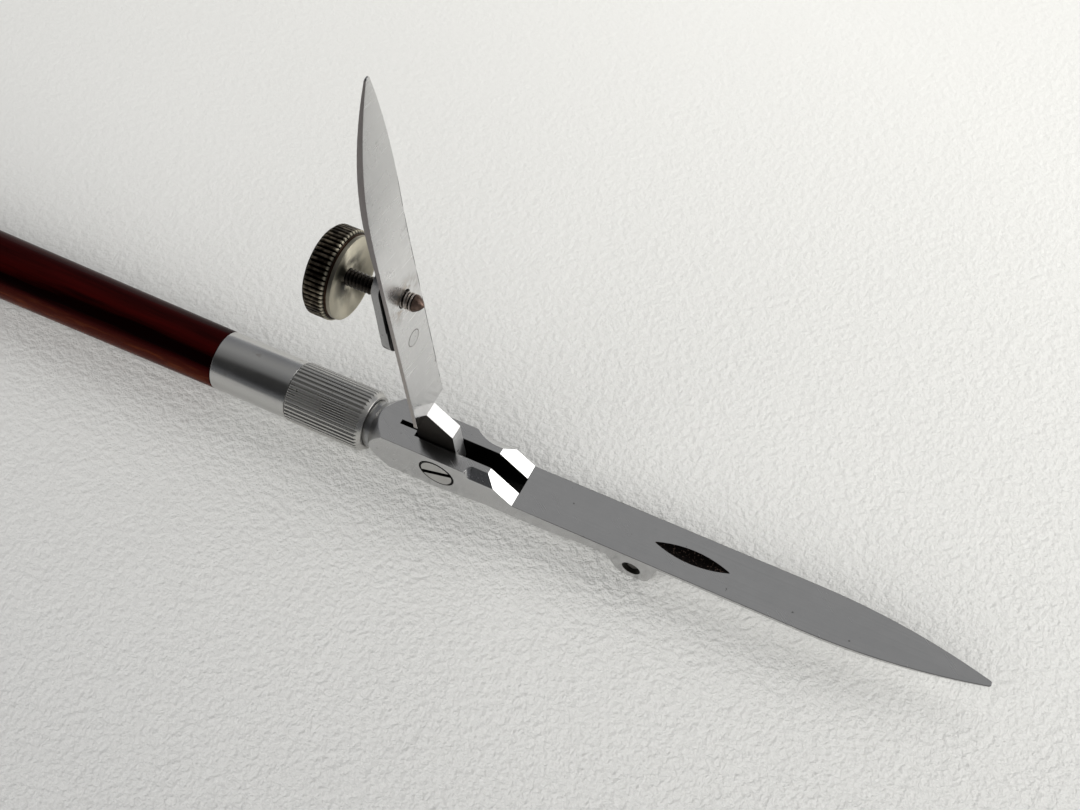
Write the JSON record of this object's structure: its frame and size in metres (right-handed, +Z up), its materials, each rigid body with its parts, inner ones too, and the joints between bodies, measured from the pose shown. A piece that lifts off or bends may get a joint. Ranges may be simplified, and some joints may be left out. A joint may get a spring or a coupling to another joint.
{
  "type": "ruling pen",
  "caption": "Ruling pen with a cross-jointed upper blade swung open, a thumbscrew that sets the line width, a knurled collar and a round dark red handle.",
  "frame": {"origin": "middle of the flat underside of the lug below the lower blade, where the pen rests on a table", "axes": "+X along the pen towards the blade tip, +Y across the pen, +Z up, with the upper blade standing open"},
  "size_m": [0.1439, 0.008, 0.0572],
  "materials": {
    "blade_steel": "finely ground and polished, with handling scratches",
    "tool_steel": "polished",
    "spring_steel": "dark, oiled",
    "nickel_plate": "bright nickel plate, a little worn",
    "nickel_silver": "turned, pale champagne tint",
    "bronze": "tarnished",
    "handle_red": "high gloss, very dark red with faint lighter flecks"
  },
  "bodies": {
    "pen": {"handle": "handle_red", "handle_tang": "tool_steel", "ferrule": "nickel_plate", "knurled_collar": "nickel_plate", "lower_blade": "blade_steel", "pivot_screw": "tool_steel", "back_spring": "spring_steel", "cross_pin": "tool_steel"},
    "upper_arm": {"upper_blade": "blade_steel", "nut_plate": "blade_steel", "plate_rivet": "tool_steel"},
    "screw_end": {"screw_tip": "bronze"},
    "thumbscrew": {"thumb_knob": "nickel_silver", "screw_shank": "spring_steel"}
  },
  "joints": [
    {"name": "blade_hinge", "type": "hinge", "parent": "pen", "child": "upper_arm", "pos_m": [-0.01995, 0, 0.004], "axis": [0, 1, 0], "range_deg": [0, 88.5]},
    {"name": "screw_feed", "type": "slide", "parent": "upper_arm", "child": "screw_end", "axis": [1, 0, 0], "range_m": [-0.0014, 0]},
    {"name": "screw_turn", "type": "hinge", "parent": "screw_end", "child": "thumbscrew", "pos_m": [-0.02, 0, 0.0287], "axis": [1, 0, 0], "range_deg": [-1441, 1]}
  ],
  "couplings": [
    {"joint": "screw_turn", "follows": "screw_feed", "rad_per_m": 17952}
  ]
}
